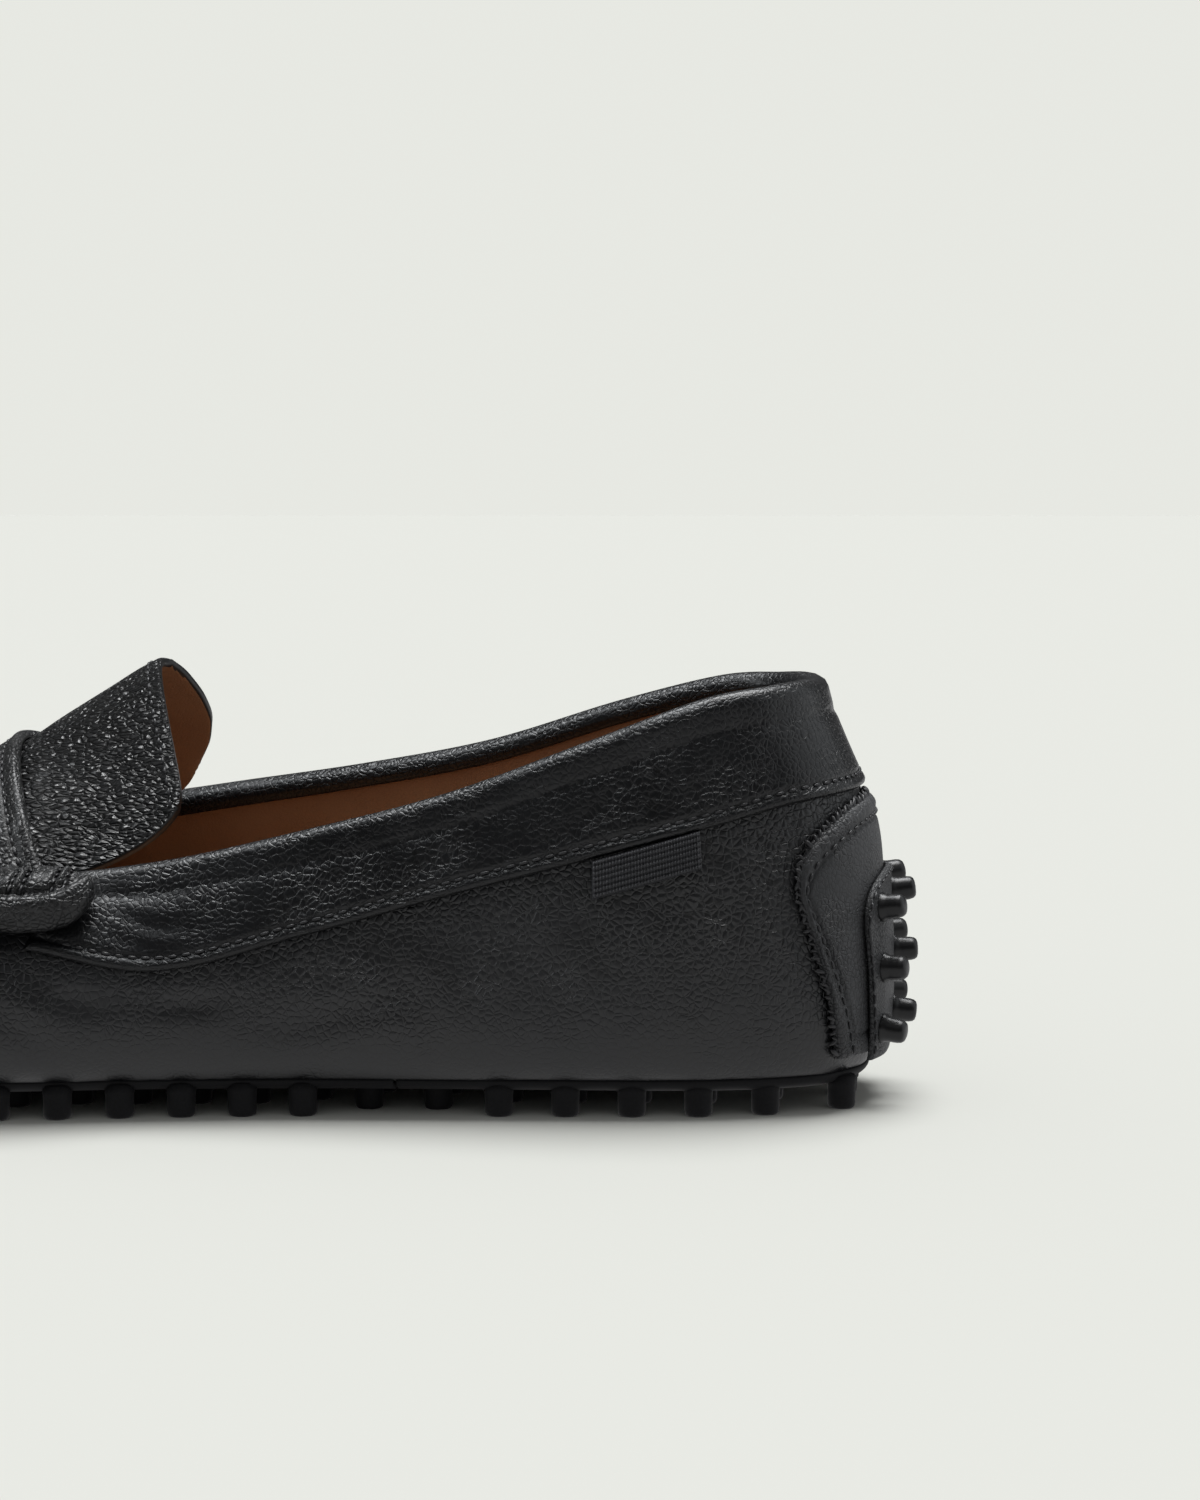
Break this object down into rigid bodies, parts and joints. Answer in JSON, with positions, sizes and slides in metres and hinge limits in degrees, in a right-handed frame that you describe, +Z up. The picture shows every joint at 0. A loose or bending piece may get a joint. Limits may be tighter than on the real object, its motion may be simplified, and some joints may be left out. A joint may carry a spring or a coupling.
{
  "type": "driving moccasin",
  "caption": "Left driving moccasin in soft black leather with a saddle strap, beef rolls, a folded collar band and a rubber-studded sole that runs up the heel.",
  "frame": {"origin": "centre of the bounding box at the plane that the studs stand on", "axes": "+X from heel to toe, +Y towards the outer side of the foot, +Z up"},
  "size_m": [0.2854, 0.1002, 0.0782],
  "materials": {
    "wrap_leather": "fine pebble grain, soft sheen",
    "vamp_leather": "coarse tumbled grain, glossy tops",
    "band_leather": "smooth folded leather with a soft highlight",
    "sock_leather": "matt tan",
    "stud_rubber": "satin moulded rubber",
    "ribbon": "ribbed woven ribbon"
  },
  "bodies": {
    "root": {"upper": "wrap_leather", "apron_tongue": "vamp_leather", "collar_band": "band_leather", "saddle_strap": "vamp_leather", "beef_roll_outer": "vamp_leather", "beef_roll_inner": "vamp_leather", "heel_counter": "wrap_leather", "heel_patch": "wrap_leather", "outsole_heel": "stud_rubber", "outsole_forefoot": "stud_rubber", "insole": "sock_leather", "ribbon_tab": "ribbon", "toe_seam": "vamp_leather"}
  },
  "joints": []
}
